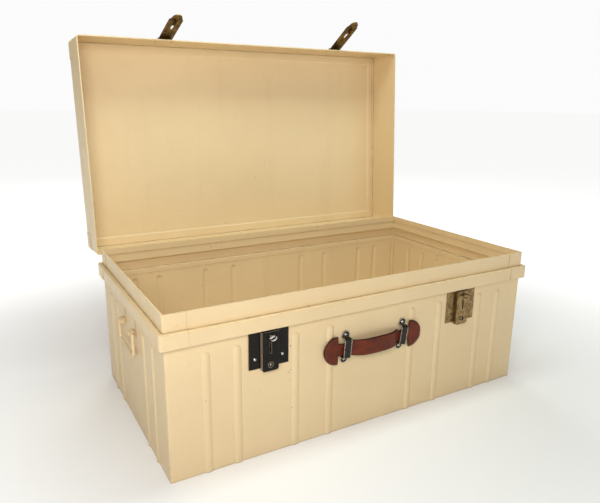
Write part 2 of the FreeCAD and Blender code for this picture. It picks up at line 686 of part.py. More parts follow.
def hinges():
    chest_rivets = []
    lid_rivets = []
    back = V(0, 1, 0)
    pins = []
    half = HINGE_W / 2
    for side, x in SIDES:
        x0 = x * HINGE_X
        save("hinge_leaf_chest_" + side, hinge_leaf_chest(x0))
        save("hinge_leaf_lid_" + side, open_lid(hinge_leaf_lid(x0)))
        pins.append(rod(HINGE_PIN_R, V(x0 - half - 0.8, HINGE_Y, HINGE_Z), V(x0 + half + 0.8, HINGE_Y, HINGE_Z)))
        band_y = LID_W / 2 + LEAF_T
        wall_y = WIDTH / 2 + LEAF_T
        for offset in (-14.0, 14.0):
            chest_rivets.append(dome_rivet(V(x0 + offset, band_y, 248.5), back, 2.8, 1.4, 1.5, 2.2))
            lid_rivets.append(dome_rivet(V(x0 + offset, band_y, HINGE_Z + 18), back, 2.8, 1.4, 1.5, 3.2))
        chest_rivets.append(dome_rivet(V(x0, wall_y, 229), back, 2.8, 1.4, 1.5, 2.2))
        inside = V(x0, WIDTH / 2 - SHEET, 229)
        chest_rivets.append(dome_rivet(inside, back * -1, 2.8, 1.2, 1.4, 0.1))
    save("hinge_pins", Part.makeCompound(pins))
    save("hinge_rivets_chest", Part.makeCompound(chest_rivets))
    save("hinge_rivets_lid", open_lid(Part.makeCompound(lid_rivets)))


# ---------------------------------------------------------------- front handle
def handle_loop(x0):
    """A metal loop over the leather: two riveted tabs and a bridge that stands out."""
    z0, z1 = LOOP_Z
    out = WALL_Y - LOOP_OUT
    outer = block(x0 - LOOP_W / 2, x0 + LOOP_W / 2, WALL_Y, out, z0 - LOOP_T, z1 + LOOP_T)
    front = [e for e in outer.Edges if is_along(e, X_AXIS) and e.CenterOfMass.y < out + 0.1]
    outer = outer.makeFillet(4.0, front)
    inner = block(x0 - LOOP_W, x0 + LOOP_W, WALL_Y + 5, out + LOOP_T, z0, z1)
    front = [e for e in inner.Edges if is_along(e, X_AXIS) and e.CenterOfMass.y < out + 5]
    inner = inner.makeFillet(4.0 - LOOP_T, front)
    parts = [outer.cut(inner)]
    for z_tab, z_edge in ((LOOP_TABS_Z[0], z0), (LOOP_TABS_Z[1], z1)):
        tab = block(x0 - LOOP_W / 2, x0 + LOOP_W / 2, WALL_Y, WALL_Y - LOOP_T, z_tab, z_edge)
        end = rod(LOOP_W / 2, V(x0, WALL_Y, z_tab), V(x0, WALL_Y - LOOP_T, z_tab))
        parts += [tab, end]
    return fuse_all(parts)


def skew(shape, x0, degrees):
    """Turn a loop a little in the plane of the wall, as it is riveted on."""
    turned = shape.copy()
    turned.rotate(V(x0, WALL_Y, PAD_Z), Y_AXIS, degrees)
    return turned


def front_handle():
    """The leather handle: two D-shaped end pads, necks under the loops and an arched grip."""
    y0 = HANDLE_BACK_Y
    y1 = y0 - PAD_T
    solids = []
    for _, x in SIDES:
        flat = x * PAD_FLAT_X
        depth = PAD_TIP_X - PAD_FLAT_X
        radius = ((PAD_H / 2) ** 2 + depth ** 2) / (2 * depth)
        centre_x = x * (PAD_TIP_X - radius)
        disc = rod(radius, V(centre_x, y0, PAD_Z), V(centre_x, y1, PAD_Z))
        pad = disc.common(block(flat, x * FAR, y0, y1, 0, FAR))
        neck = block(flat + x * 1, x * (GRIP_HALF_X - 0.5), y0, y1, PAD_Z - NECK_H / 2, PAD_Z + NECK_H / 2)
        solids += [pad, neck]
    far = y0 - GRIP_ARCH
    outline = [(-GRIP_HALF_X, y0), (-GRIP_FLAT_X, far), (GRIP_FLAT_X, far), (GRIP_HALF_X, y0),
               (GRIP_HALF_X, y1), (GRIP_FLAT_X, far - PAD_T), (-GRIP_FLAT_X, far - PAD_T), (-GRIP_HALF_X, y1)]
    z0 = PAD_Z - GRIP_H / 2
    grip = prism([(x, y, z0) for x, y in outline], V(0, 0, GRIP_H))
    handle = fuse_all([grip] + solids)
    handle.translate(V(FITTING_X, 0, 0))
    return handle


def front_handle_parts():
    rivets = []
    for side, x in SIDES:
        x0 = FITTING_X + x * LOOP_X
        turn = LOOP_SKEW[side]
        save("handle_loop_" + side, skew(handle_loop(x0), x0, turn))
        for z in LOOP_TABS_Z:
            rivet = dome_rivet(V(x0, WALL_Y - LOOP_T, z), V(0, -1, 0), 3.0, 1.7, 1.5, 2.6)
            rivets.append(skew(rivet, x0, turn))
    save("handle_rivets", Part.makeCompound(rivets))
    save("front_handle", front_handle())


# ---------------------------------------------------------------- side handles
def side_bail(x):
    """The hanging wire handle, its ends turned in to run in the saddles."""
    bx = x * BAIL_X
    low = BAIL_Z - BAIL_DROP
    r = BAIL_BEND_R
    corner = r * (1 - math.cos(math.radians(45)))
    edges = []
    for end in (-1, 1):
        y = end * BAIL_HALF_Y
        stub = V(bx, end * BAIL_STUB_Y, BAIL_Z)
        top_a = V(bx, y - end * r, BAIL_Z)
        top_m = V(bx, y - end * corner, BAIL_Z - corner)
        top_b = V(bx, y, BAIL_Z - r)
        low_a = V(bx, y, low + r)
        low_m = V(bx, y - end * corner, low + corner)
        low_b = V(bx, y - end * r, low)
        run = [
            Part.LineSegment(stub, top_a).toShape(),
            Part.Arc(top_a, top_m, top_b).toShape(),
            Part.LineSegment(top_b, low_a).toShape(),
            Part.Arc(low_a, low_m, low_b).toShape(),
        ]
        edges += run if end < 0 else run[::-1]
        if end < 0:
            edges.append(Part.LineSegment(low_b, V(bx, BAIL_HALF_Y - r, low)).toShape())
    path = Part.Wire(edges)
    circle = Part.Wire(Part.makeCircle(BAIL_R, V(bx, -BAIL_STUB_Y, BAIL_Z), Y_AXIS))
    return path.makePipeShell([circle], True, True)


def side_saddle(x, y):
    """A riveted plate with an eye that one end of the bail turns in."""
    wall_x = x * LENGTH / 2
    bx = x * BAIL_X
    half = SADDLE_W / 2
    plate = block(wall_x, wall_x + x * SADDLE_T, y - half, y + half, SADDLE_Z[0], SADDLE_Z[1])
    long_edges = [e for e in plate.Edges if is_along(e, X_AXIS)]
    plate = plate.makeFillet(4.0, long_edges)
    eye_half = SADDLE_EYE_L / 2
    eye = rod(SADDLE_EYE_R, V(bx, y - eye_half, BAIL_Z), V(bx, y + eye_half, BAIL_Z))
    web = block(wall_x, bx, y - eye_half, y + eye_half, BAIL_Z - SADDLE_EYE_R + 0.5, BAIL_Z + SADDLE_EYE_R)
    bore = rod(SADDLE_BORE_R, V(bx, y - 20, BAIL_Z), V(bx, y + 20, BAIL_Z))
    return fuse_all([plate, eye, web]).cut(bore)


def side_handles():
    rivets = []
    for side, x in SIDES:
        save("side_bail_" + side, side_bail(x))
        pair = [side_saddle(x, y) for y in (-SADDLE_Y, SADDLE_Y)]
        save("side_saddles_" + side, Part.makeCompound(pair))
        face_x = x * (LENGTH / 2 + SADDLE_T)
        for y in (-SADDLE_Y, SADDLE_Y):
            for z in SADDLE_RIVETS_Z:
                rivets.append(dome_rivet(V(face_x, y, z), V(x, 0, 0), 3.0, 1.5, 1.5, 2.0))
    save("side_handle_rivets", Part.makeCompound(rivets))


def main():
    os.makedirs("parts", exist_ok=True)
    base_pan()
    walls()
    corner_angles()
    mouth_frame()
    rim_rivets()
    locks()
    hasps()
    lid()
    hinges()
    front_handle_parts()
    side_handles()


main()
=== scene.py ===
"""Looks of the steel footlocker: painted and tarnished metals, leather handle, floor and light."""

import json
import math
import random

import bpy
from mathutils import Matrix, Vector


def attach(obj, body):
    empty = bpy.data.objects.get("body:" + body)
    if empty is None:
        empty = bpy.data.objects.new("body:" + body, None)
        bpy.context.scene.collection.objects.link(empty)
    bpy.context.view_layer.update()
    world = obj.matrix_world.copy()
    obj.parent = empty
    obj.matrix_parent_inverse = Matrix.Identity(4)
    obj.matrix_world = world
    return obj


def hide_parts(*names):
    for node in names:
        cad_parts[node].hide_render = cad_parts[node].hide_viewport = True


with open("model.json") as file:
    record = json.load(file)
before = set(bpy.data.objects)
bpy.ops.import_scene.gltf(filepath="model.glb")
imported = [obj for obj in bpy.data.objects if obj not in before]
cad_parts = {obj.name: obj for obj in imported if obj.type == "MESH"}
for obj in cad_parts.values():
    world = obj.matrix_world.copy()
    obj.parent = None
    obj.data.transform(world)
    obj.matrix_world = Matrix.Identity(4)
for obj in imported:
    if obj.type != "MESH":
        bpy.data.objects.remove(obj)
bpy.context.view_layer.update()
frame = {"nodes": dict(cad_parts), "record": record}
NODES = frame["nodes"]

# ---- camera: metres, degrees, millimetres of lens ----
CAMERA_AT = Vector((-0.6210, -1.0191, 0.6117))
CAMERA_HEADING = 29.965    # to the right of straight at the front
CAMERA_PITCH = -14.951     # below level
CAMERA_ROLL = 0.610
LENS_MM = 34.134
SENSOR_MM = 36.0

# ---- leather handle, metres ----
PAD_X = 0.002
PAD_Z = 0.1690
PAD_FLAT_X = 0.083
PAD_TIP_X = 0.113
PAD_HALF_H = 0.0273
NECK_HALF_H = 0.0118
GRIP_HALF_X = 0.0538
GRIP_END_HALF_H = 0.0153
GRIP_MID_HALF_H = 0.0161
GRIP_ARCH = 0.0128
HANDLE_BACK_Y = -0.2229
PAD_THICK = 0.0037
GRIP_THICK = 0.0062
CROWN = 0.00035
SHOULDER = 0.0006          # half the width of the step from neck to pad
NECK_STEP = 0.0016         # width of the step from grip to neck
TIP_TAPER = 0.0016         # how far from its tip a pad starts to thin
TIP_SHARE = 0.35           # what is left of the thickness at the tip
EDGE_BAND = 0.0035         # how far in from an edge the leather is burnished
SIDE_SQUARENESS, FACE_SQUARENESS = 0.45, 0.40
RING_POINTS = 40
STEP_FINE, STEP_TIP, STEP_COARSE = 0.0004, 0.0009, 0.0020

# ---- the handle's stitches, metres ----
STITCH_PITCH = 0.0044
STITCH_LENGTH = 0.0030
STITCH_RADIUS = 0.00042
STITCH_INSET = 0.0030
STITCH_SINK = 0.00010
STITCH_FACETS = 8
STITCH_PROFILE = ((-0.5, 0.12), (-0.34, 0.85), (-0.12, 1.0), (0.12, 1.0), (0.34, 0.85), (0.5, 0.12))
STITCH_SEED = 7
CORNER_INSET = 0.8         # of STITCH_INSET, where a pad's seam starts
SEAM_STEPS = 60
NEAR_END_TURN = 1.5        # radians, past which the pad's seam runs at full height

# ---- tarnished metals: name, dark, light, stain, gloss, grain scale ----
TARNISHED = (
    ("bronzed_steel", (0.185, 0.120, 0.052), (0.400, 0.272, 0.122), (0.085, 0.053, 0.024), 0.30, 2.4),
    ("aged_brass", (0.085, 0.056, 0.024), (0.30, 0.205, 0.085), (0.038, 0.024, 0.012), 0.26, 1.0),
    ("bright_steel", (0.46, 0.44, 0.41), (0.78, 0.76, 0.72), (0.26, 0.23, 0.19), 0.20, 1.0),
)

# ---- surroundings ----
FLOOR_HALF = 30.0
FLOOR_GLOW_FROM, FLOOR_GLOW_TO = 0.40, 1.5
FLOOR_GLOW_NEAR, FLOOR_GLOW_FAR = 0.08, 0.74
ROOM_GLOW = 0.245
ROOM_TINT = (1.0, 0.98, 0.94, 1.0)
WALL_WHITE = 0.97
LIGHTS = (
    # name, place, aim, size, watts, tint
    ("key", (-0.70, -0.94, 0.85), (-0.18, 0.0, 0.25), (0.50, 0.40), 7.9, (1.0, 0.955, 0.935)),
    ("top", (0.05, -0.16, 1.45), (0.05, 0.02, 0.2), (1.3, 0.35), 8.4, (0.89, 1.0, 0.945)),
    ("back", (0.75, 2.30, 1.90), (0.0, 0.30, 0.35), (1.2, 0.9), 17.0, (1.0, 0.98, 0.95)),
)


# ---------------------------------------------------------------- node helpers
class Graph:
    """Short calls for building one material's node tree."""

    def __init__(self, name):
        self.material = bpy.data.materials.new(name)
        self.material.use_nodes = True
        self.tree = self.material.node_tree
        self.shader = next(n for n in self.tree.nodes if n.type == "BSDF_PRINCIPLED")
        self.coords = self.add("ShaderNodeTexCoord").outputs["Object"]

    def add(self, kind, **settings):
        node = self.tree.nodes.new(kind)
        for key, value in settings.items():
            setattr(node, key, value)
        return node

    def feed(self, socket, value):
        """Link an output, or set a plain value."""
        if isinstance(value, bpy.types.NodeSocket):
            self.tree.links.new(value, socket)
        else:
            socket.default_value = value

    def stretch(self, scale, offset=(0, 0, 0)):
        node = self.add("ShaderNodeMapping")
        self.feed(node.inputs["Vector"], self.coords)
        node.inputs["Scale"].default_value = scale
        node.inputs["Location"].default_value = offset
        return node.outputs["Vector"]

    def noise(self, scale, detail=4.0, rough=0.5, vector=None, distortion=0.0):
        node = self.add("ShaderNodeTexNoise")
        self.feed(node.inputs["Vector"], vector or self.coords)
        node.inputs["Scale"].default_value = scale
        node.inputs["Detail"].default_value = detail
        node.inputs["Roughness"].default_value = rough
        node.inputs["Distortion"].default_value = distortion
        return node.outputs["Fac"]

    def voronoi(self, scale, feature="F1", vector=None):
        node = self.add("ShaderNodeTexVoronoi", feature=feature)
        self.feed(node.inputs["Vector"], vector or self.coords)
        node.inputs["Scale"].default_value = scale
        return node.outputs["Distance"]

    def ramp(self, value, low, high, at_low=0.0, at_high=1.0):
        node = self.add("ShaderNodeMapRange", interpolation_type="SMOOTHSTEP")
        self.feed(node.inputs["Value"], value)
        for key, number in (("From Min", low), ("From Max", high), ("To Min", at_low), ("To Max", at_high)):
            node.inputs[key].default_value = number
        return node.outputs["Result"]

    def math(self, operation, a, b=0.0):
        node = self.add("ShaderNodeMath", operation=operation)
        self.feed(node.inputs[0], a)
        self.feed(node.inputs[1], b)
        return node.outputs["Value"]

    def mix(self, factor, a, b):
        node = self.add("ShaderNodeMix", data_type="RGBA")
        self.feed(node.inputs["Factor"], factor)
        self.feed(node.inputs[6], a)
        self.feed(node.inputs[7], b)
        return node.outputs[2]

    def tint(self, factor, a, b):
        return self.mix(factor, colour(a), colour(b))

    def edges(self, width):
        """Bright where the surface turns sharply within a width."""
        bevel = self.add("ShaderNodeBevel", samples=6)
        bevel.inputs["Radius"].default_value = width
        flat = self.add("ShaderNodeNewGeometry").outputs["Normal"]
        dot = self.add("ShaderNodeVectorMath", operation="DOT_PRODUCT")
        self.feed(dot.inputs[0], bevel.outputs["Normal"])
        self.feed(dot.inputs[1], flat)
        return self.ramp(dot.outputs["Value"], 0.985, 0.90)

    def side_highlight(self, strength):
        """Painted highlight mask: bright on faces that look to the left or right."""
        parts = self.add("ShaderNodeSeparateXYZ")
        self.feed(parts.inputs[0], self.add("ShaderNodeNewGeometry").outputs["True Normal"])
        return self.ramp(self.math("ABSOLUTE", parts.outputs["X"]), 0.55, 0.9, 0.0, strength)

    def occlusion_shade(self, distance, strength=1.0):
        """Painted shade mask: bright where surfaces nearby close in and ambient occlusion falls."""
        node = self.add("ShaderNodeAmbientOcclusion", samples=6)
        node.inputs["Distance"].default_value = distance
        return self.ramp(node.outputs["AO"], 0.90, 0.42, 0.0, strength)

    def bump(self, height, strength, distance, below=None):
        node = self.add("ShaderNodeBump")
        node.inputs["Strength"].default_value = strength
        node.inputs["Distance"].default_value = distance
        self.feed(node.inputs["Height"], height)
        if below is not None:
            self.feed(node.inputs["Normal"], below)
        return node.outputs["Normal"]

    def finish(self, base, rough, normal=None, metallic=0.0, **plain):
        """Send the built layers to the shader, with uniform numbers set on its own sockets."""
        self.feed(self.shader.inputs["Base Color"], base)
        self.feed(self.shader.inputs["Roughness"], rough)
        self.feed(self.shader.inputs["Metallic"], metallic)
        if normal is not None:
            self.feed(self.shader.inputs["Normal"], normal)
        for key, value in plain.items():
            self.shader.inputs[key.replace("_", " ")].default_value = value
        return self.material


def colour(rgb):
    return (rgb[0], rgb[1], rgb[2], 1.0)


# ---------------------------------------------------------------- materials
def cream_paint():
    """Brushed-on cream enamel: soft tone drift, painted shade darkening its seams and crevices, chips and
    rubs on edges, fine runs.
    """
    g = Graph("cream_paint")
    drift = g.ramp(g.noise(3.5, 5.0, 0.55), 0.32, 0.68)
    base = g.tint(drift, (0.770, 0.598, 0.344), (0.815, 0.640, 0.372))
    streak = g.ramp(g.noise(22.0, 5.0, 0.6, g.stretch((1.0, 1.0, 0.10))), 0.52, 0.80, 0.0, 0.28)
    base = g.mix(streak, base, colour((0.715, 0.532, 0.292)))
    mottle = g.ramp(g.noise(75.0, 4.0, 0.65), 0.55, 0.78, 0.0, 0.22)
    base = g.mix(mottle, base, colour((0.70, 0.518, 0.282)))
    # Painted shade: darkening where nearby surfaces close in (ambient occlusion), broken up by noise.
    crevice_shade_noise = g.ramp(g.noise(38.0, 4.0, 0.6), 0.30, 0.72, 0.45, 1.0)
    crevice_shade = g.math("MULTIPLY", g.occlusion_shade(0.0035, 0.95), crevice_shade_noise)
    base = g.mix(crevice_shade, base, colour((0.21, 0.135, 0.060)))
    worn_noise = g.ramp(g.noise(95.0, 6.0, 0.7), 0.50, 0.60)
    worn = g.math("MULTIPLY", g.edges(0.0011), worn_noise)
    base = g.mix(g.math("MULTIPLY", worn, 0.75), base, colour((0.33, 0.235, 0.145)))
    chip = g.ramp(g.noise(130.0, 3.0, 0.5), 0.735, 0.76)
    chip = g.math("MULTIPLY", chip, g.ramp(g.noise(9.0, 3.0, 0.5), 0.50, 0.62))
    base = g.mix(g.math("MULTIPLY", chip, 0.85), base, colour((0.22, 0.13, 0.075)))
    scratch = g.ramp(g.noise(150.0, 2.0, 0.5, g.stretch((0.06, 0.06, 1.0), (0.3, 0.1, 0.7))), 0.70, 0.74)
    scratch = g.math("MULTIPLY", scratch, g.ramp(g.noise(6.0, 2.0, 0.5), 0.52, 0.60, 0.0, 0.35))
    base = g.mix(scratch, base, colour((0.80, 0.69, 0.48)))
    rough = g.ramp(g.noise(30.0, 4.0, 0.6), 0.3, 0.7, 0.36, 0.50)
    rough = g.math("ADD", rough, g.math("MULTIPLY", crevice_shade, 0.25))
    waves = g.bump(g.noise(11.0, 2.0, 0.4), 0.30, 0.0035)
    peel = g.bump(g.noise(520.0, 3.0, 0.55), 0.22, 0.0005, waves)
    relief = g.bump(g.math("SUBTRACT", 1.0, g.math("ADD", chip, worn)), 0.35, 0.0003, peel)
    return g.finish(base, rough, relief, Specular_IOR_Level=0.5)


def black_lacquer():
    """Near-black lacquer on steel, rubbed to brown metal along the edges, with a painted highlight of
    lighter brown on the case's flanks.
    """
    g = Graph("black_lacquer")
    base = g.tint(g.noise(60.0, 4.0, 0.6), (0.0045, 0.0040, 0.0036), (0.012, 0.010, 0.008))
    rub_noise = g.ramp(g.noise(170.0, 5.0, 0.7), 0.30, 0.55, 0.25, 1.0)
    lightened = g.math("MULTIPLY", g.edges(0.0011), rub_noise)
    # Painted highlight: lighter brown on faces that look to the left or right, added to the rubbed edges.
    lightened = g.math("MAXIMUM", lightened, g.side_highlight(0.80))
    base = g.mix(lightened, base, colour((0.42, 0.31, 0.20)))
    speck = g.ramp(g.noise(420.0, 3.0, 0.6), 0.70, 0.76, 0.0, 0.5)
    base = g.mix(speck, base, colour((0.09, 0.065, 0.045)))
    rough = g.ramp(g.noise(110.0, 4.0, 0.6), 0.3, 0.7, 0.16, 0.30)
    relief = g.bump(g.noise(260.0, 3.0, 0.5), 0.12, 0.0003)
    return g.finish(base, rough, relief, g.math("MULTIPLY", lightened, 0.35), Specular_IOR_Level=0.18)


def black_steel():
    """Blackened steel of the handle loops, polished by use on its bends and edges."""
    g = Graph("black_steel")
    base = g.tint(g.noise(90.0, 4.0, 0.6), (0.020, 0.017, 0.014), (0.050, 0.042, 0.034))
    rub_noise = g.ramp(g.noise(190.0, 5.0, 0.7), 0.32, 0.58, 0.30, 1.0)
    lightened = g.math("MULTIPLY", g.edges(0.0030), rub_noise)
    base = g.mix(lightened, base, colour((0.84, 0.76, 0.60)))
    rough = g.ramp(g.noise(110.0, 4.0, 0.6), 0.3, 0.7, 0.20, 0.34)
    relief = g.bump(g.noise(260.0, 3.0, 0.5), 0.2, 0.0003)
    return g.finish(base, rough, relief, g.ramp(lightened, 0.0, 1.0, 0.75, 1.0))


def tarnished_metal(name, dark, light, stain, gloss, scale):
    """Bare metal with blotchy tarnish, hairline scratches and bright edges."""
    g = Graph(name)
    blotch = g.ramp(g.noise(55.0 * scale, 6.0, 0.65), 0.32, 0.70)
    base = g.tint(blotch, dark, light)
    spots = g.ramp(g.noise(210.0 * scale, 4.0, 0.6), 0.56, 0.72, 0.0, 0.75)
    base = g.mix(spots, base, colour(stain))
    # Painted shade: darkening where nearby surfaces close in (ambient occlusion).
    crevice_shade = g.occlusion_shade(0.004, 0.7)
    base = g.mix(crevice_shade, base, colour([c * 0.35 for c in stain]))
    bright = g.math("MULTIPLY", g.edges(0.0009), g.ramp(g.noise(150.0, 4.0, 0.6), 0.35, 0.60, 0.2, 0.8))
    base = g.mix(bright, base, colour([min(1.0, c * 1.5) for c in light]))
    hair = g.noise(900.0, 2.0, 0.6, g.stretch((1.0, 1.0, 0.08)))
    rough = g.math("ADD", g.ramp(blotch, 0.0, 1.0, gloss + 0.16, gloss), g.math("MULTIPLY", spots, 0.15))
    relief = g.bump(hair, 0.18, 0.00025, g.bump(blotch, 0.15, 0.0003))
    metal = g.ramp(g.math("ADD", spots, crevice_shade), 0.0, 1.2, 1.0, 0.45)
    return g.finish(base, rough, relief, metal)


def lock_rivet():
    """Rivets of the locks: bright on the left lock, dulled to bronze on the right one."""
    g = Graph("lock_rivet")
    place = g.add("ShaderNodeSeparateXYZ")
    g.feed(place.inputs[0], g.coords)
    base = g.tint(g.ramp(place.outputs["X"], -0.01, 0.01), (0.66, 0.64, 0.60), (0.27, 0.19, 0.10))
    tarnish = g.ramp(g.noise(480.0, 4.0, 0.6), 0.50, 0.72, 0.0, 0.6)
    base = g.mix(tarnish, base, colour((0.16, 0.12, 0.08)))
    rough = g.ramp(tarnish, 0.0, 0.6, 0.22, 0.45)
    return g.finish(base, rough, g.bump(g.noise(700.0, 3.0, 0.5), 0.15, 0.0002), 1.0)


def leather():
    """Oiled red-brown leather: pebbled grain, creases, dark burnished edges and lighter rubbed crowns."""
    g = Graph("leather")
    edge = g.add("ShaderNodeAttribute", attribute_name="edge").outputs["Fac"]
    tone = g.ramp(g.noise(48.0, 5.0, 0.6), 0.30, 0.72)
    base = g.tint(tone, (0.098, 0.0155, 0.0060), (0.170, 0.0300, 0.0100))
    streaks = g.ramp(g.noise(120.0, 4.0, 0.65, g.stretch((0.25, 1.0, 1.0))), 0.50, 0.75, 0.0, 0.50)
    base = g.mix(streaks, base, colour((0.055, 0.010, 0.005)))
    cells = g.voronoi(900.0)
    pores = g.ramp(cells, 0.0, 0.45, 1.0, 0.0)
    base = g.mix(g.math("MULTIPLY", pores, 0.22), base, colour((0.05, 0.014, 0.008)))
    rubbed = g.ramp(g.noise(30.0, 3.0, 0.5), 0.55, 0.75, 0.0, 0.20)
    base = g.mix(rubbed, base, colour((0.26, 0.055, 0.020)))
    dark_edge = g.ramp(g.math("ADD", edge, g.math("MULTIPLY", g.noise(160.0, 3.0, 0.6), 0.25)), 0.62, 1.02)
    base = g.mix(dark_edge, base, colour((0.016, 0.006, 0.004)))
    rough = g.ramp(tone, 0.0, 1.0, 0.36, 0.54)
    creases = g.ramp(g.noise(85.0, 3.0, 0.7, g.stretch((1.9, 1.0, 0.30)), 0.8), 0.44, 0.52)
    low = g.bump(creases, 0.28, 0.0006)
    grain = g.bump(cells, 0.38, 0.0005, low)
    return g.finish(base, rough, grain, Specular_IOR_Level=0.22)


def thread():
    """Dark waxed thread with a fine twist."""
    g = Graph("thread")
    twist = g.add("ShaderNodeTexWave", wave_type="BANDS", bands_direction="DIAGONAL")
    g.feed(twist.inputs["Vector"], g.coords)
    twist.inputs["Scale"].default_value = 900.0
    base = g.tint(twist.outputs["Fac"], (0.070, 0.022, 0.010), (0.135, 0.050, 0.022))
    return g.finish(base, 0.75, g.bump(twist.outputs["Fac"], 0.4, 0.0002))


def paint_all(materials):
    """Give every CAD node the material of its slot, and the lock rivets their own."""
    slots = {s["node"]: s["material_slot"] for s in frame["record"]["subparts"]}
    for name, node in NODES.items():
        node.data.materials.clear()
        node.data.materials.append(materials["lock_rivet" if name == "lock_rivets" else slots[name]])


# ---------------------------------------------------------------- leather handle
def grip_share(x):
    """0 at a loop, 1 in the middle of the grip."""
    return max(0.0, 1.0 - (abs(x) / GRIP_HALF_X) ** 2)


def smooth(t):
    """A soft step from 0 to 1."""
    t = min(1.0, max(0.0, t))
    return t * t * (3 - 2 * t)


def pad_half_height(x):
    """Half the height of a pad's rounded end at one place along it."""
    depth = PAD_TIP_X - PAD_FLAT_X
    radius = (PAD_HALF_H ** 2 + depth ** 2) / (2 * depth)
    inside = radius ** 2 - (abs(x) - (PAD_TIP_X - radius)) ** 2
    return math.sqrt(max(inside, 0.0))


def half_height(x):
    """Half the leather's height at one place along it."""
    a = abs(x)
    if a < GRIP_HALF_X:
        return GRIP_END_HALF_H + (GRIP_MID_HALF_H - GRIP_END_HALF_H) * grip_share(x)
    if a < PAD_FLAT_X - SHOULDER:
        t = smooth((a - GRIP_HALF_X) / NECK_STEP)
        return GRIP_END_HALF_H * (1 - t) + NECK_HALF_H * t
    t = smooth((a - PAD_FLAT_X + SHOULDER) / (2 * SHOULDER))
    return NECK_HALF_H * (1 - t) + pad_half_height(max(a, PAD_FLAT_X)) * t


def thickness(x):
    """The leather's thickness: doubled up at the grip, single at the pads."""
    share = smooth((GRIP_HALF_X + 0.004 - abs(x)) / 0.02)
    return PAD_THICK + (GRIP_THICK - PAD_THICK) * share


def back_y(x):
    """The leather's back face: flat on the wall at the pads, arched out at the grip."""
    arch = (GRIP_ARCH - (GRIP_THICK - PAD_THICK)) * smooth(grip_share(x) ** 0.75)
    return HANDLE_BACK_Y - max(arch, 0.0)


def stations():
    """Places along the handle, closer together where its outline turns."""
    xs = []
    x = 0.0
    while x < PAD_TIP_X - 0.0001:
        xs.append(x)
        near_step = min(abs(x - GRIP_HALF_X), abs(x - PAD_FLAT_X)) < 0.0025
        tip = PAD_TIP_X - x
        x += STEP_FINE if near_step or tip < 0.0015 else (STEP_TIP if tip < 0.006 else STEP_COARSE)
    xs.append(PAD_TIP_X - 0.00005)
    return [-x for x in reversed(xs[1:])] + xs


def ring(x):
    """One closed outline across the leather, with round edges and a crowned front."""
    half_h = half_height(x)
    thick = thickness(x)
    tip_share = smooth((PAD_TIP_X - abs(x)) / TIP_TAPER)
    thick *= TIP_SHARE + (1 - TIP_SHARE) * tip_share
    mid_y = back_y(x) - thick / 2
    points = []
    edge_values = []
    for i in range(RING_POINTS):
        turn = 2 * math.pi * i / RING_POINTS
        c, s = math.cos(turn), math.sin(turn)
        z = half_h * math.copysign(abs(c) ** SIDE_SQUARENESS, c)
        y = thick / 2 * math.copysign(abs(s) ** FACE_SQUARENESS, s)
        flat = 1 - (z / half_h) ** 2 if half_h > 0 else 0
        front = -CROWN * flat if s < 0 else 0.0
        points.append((PAD_X + x, mid_y + y + front, PAD_Z + z))
        gap = min(half_h - abs(z), PAD_TIP_X - abs(x))
        edge_values.append(1.0 - min(1.0, max(0.0, gap / EDGE_BAND)))
    return points, edge_values


def make_mesh(name, vertices, faces, material, edge_values=None):
    """A smooth-shaded object from plain lists, with how near each vertex is to an edge."""
    mesh = bpy.data.meshes.new(name)
    mesh.from_pydata(vertices, [], faces)
    mesh.validate()
    mesh.update()
    mesh.shade_smooth()
    if edge_values:
        layer = mesh.attributes.new("edge", "FLOAT", "POINT")
        layer.data.foreach_set("value", edge_values)
    mesh.materials.append(material)
    piece = bpy.data.objects.new(name, mesh)
    bpy.context.scene.collection.objects.link(piece)
    return piece


def leather_handle(material):
    """The whole strap as one closed, rounded skin."""
    vertices, edge_values, faces = [], [], []
    xs = stations()
    for x in xs:
        points, values = ring(x)
        vertices += points
        edge_values += values
    for i in range(len(xs) - 1):
        for j in range(RING_POINTS):
            k = (j + 1) % RING_POINTS
            a, b = i * RING_POINTS, (i + 1) * RING_POINTS
            faces.append((a + j, a + k, b + k, b + j))
    faces.append(tuple(reversed(range(RING_POINTS))))
    last = (len(xs) - 1) * RING_POINTS
    faces.append(tuple(range(last, last + RING_POINTS)))
    piece = make_mesh("leather_handle", vertices, faces, material, edge_values)
    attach(piece, "front_handle")
    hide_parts("front_handle")


def seam_paths():
    """Lines of stitching: round each pad and along both edges of the grip."""
    paths = []
    reach = PAD_TIP_X - PAD_FLAT_X - STITCH_INSET
    start = STITCH_INSET * CORNER_INSET
    for side in (-1, 1):
        line = []
        for i in range(SEAM_STEPS + 1):
            turn = math.pi * (i / SEAM_STEPS - 0.5)
            x = side * (PAD_FLAT_X + start + (reach - start) * math.cos(turn))
            half_h = pad_half_height(x) if abs(turn) < NEAR_END_TURN else PAD_HALF_H
            line.append((x, (half_h - STITCH_INSET) * math.sin(turn)))
        paths.append(line)
    for edge in (-1, 1):
        line = []
        for i in range(SEAM_STEPS + 1):
            x = (i / (SEAM_STEPS / 2) - 1) * (GRIP_HALF_X - STITCH_INSET)
            line.append((x, edge * (half_height(x) - STITCH_INSET)))
        paths.append(line)
    return paths


def spaced(line, pitch):
    """Points at an even pitch along a line of (x, z)."""
    out = [line[0]]
    left = pitch
    for (x0, z0), (x1, z1) in zip(line, line[1:]):
        length = math.hypot(x1 - x0, z1 - z0)
        gone = 0.0
        while length - gone >= left:
            gone += left
            t = gone / length
            out.append((x0 + (x1 - x0) * t, z0 + (z1 - z0) * t))
            left = pitch
        left -= length - gone
    return out


def front_y(x, z):
    """The leather's front face, slightly crowned from edge to edge."""
    half_h = half_height(x)
    share = max(0.0, 1 - (z / half_h) ** 2)
    return back_y(x) - thickness(x) - CROWN * share


